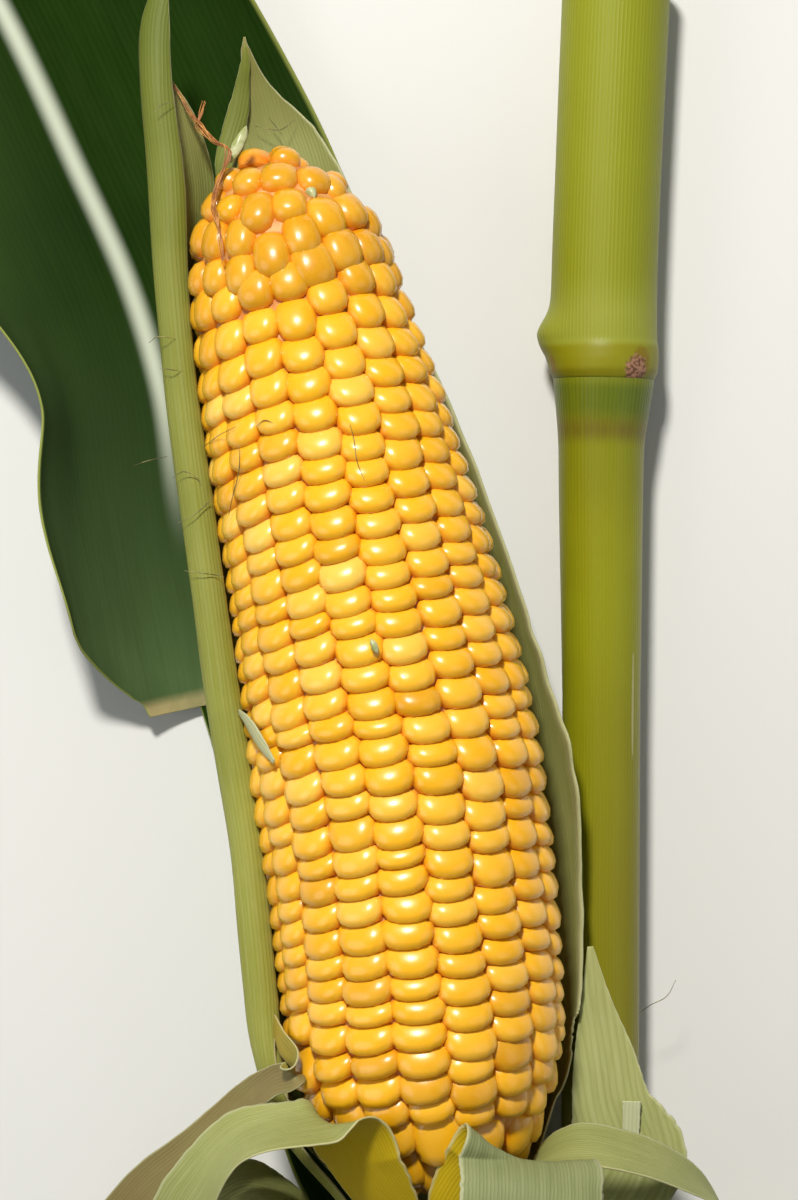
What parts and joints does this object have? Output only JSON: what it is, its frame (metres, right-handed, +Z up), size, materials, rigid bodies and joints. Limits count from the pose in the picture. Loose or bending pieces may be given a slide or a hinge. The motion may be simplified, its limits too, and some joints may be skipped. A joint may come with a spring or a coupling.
{
  "type": "maize ear on a cut length of stalk",
  "caption": "Ripe maize ear on a cut length of its stalk, with the husks peeled open and curled back and a broad leaf behind; lies on its back.",
  "frame": {"origin": "centre of the base of the whole piece as it lies on the floor", "axes": "+Y runs up the plant, from the foot of the stalk towards the ear's tip; +Z is up, from the leaf at the back to the open front of the ear; +X is the stalk's side of the ear"},
  "size_m": [0.2522, 0.4057, 0.0642],
  "materials": {
    "kernels": "glossy, plump kernels, yellow, some paler",
    "stalk": "smooth, green fading to yellow green",
    "sheath": "fine lengthwise ribs, half matt",
    "leaf": "dark green, fine parallel veins, pale midrib",
    "husk": "pale green, lengthwise veins, half matt",
    "pale_husk": "pale cream green, thin"
  },
  "bodies": {
    "root": {"ear": "kernels", "stalk": "stalk", "upper_sheath": "sheath", "shank": "stalk", "leaf_sheath": "leaf", "leaf_blade": "leaf", "husk_back": "husk", "husk_left": "husk", "husk_inner_left": "pale_husk", "husk_right": "pale_husk", "peel_far_left": "husk", "peel_left": "husk", "peel_under_left": "husk", "peel_front": "husk", "peel_right": "husk"}
  },
  "joints": []
}
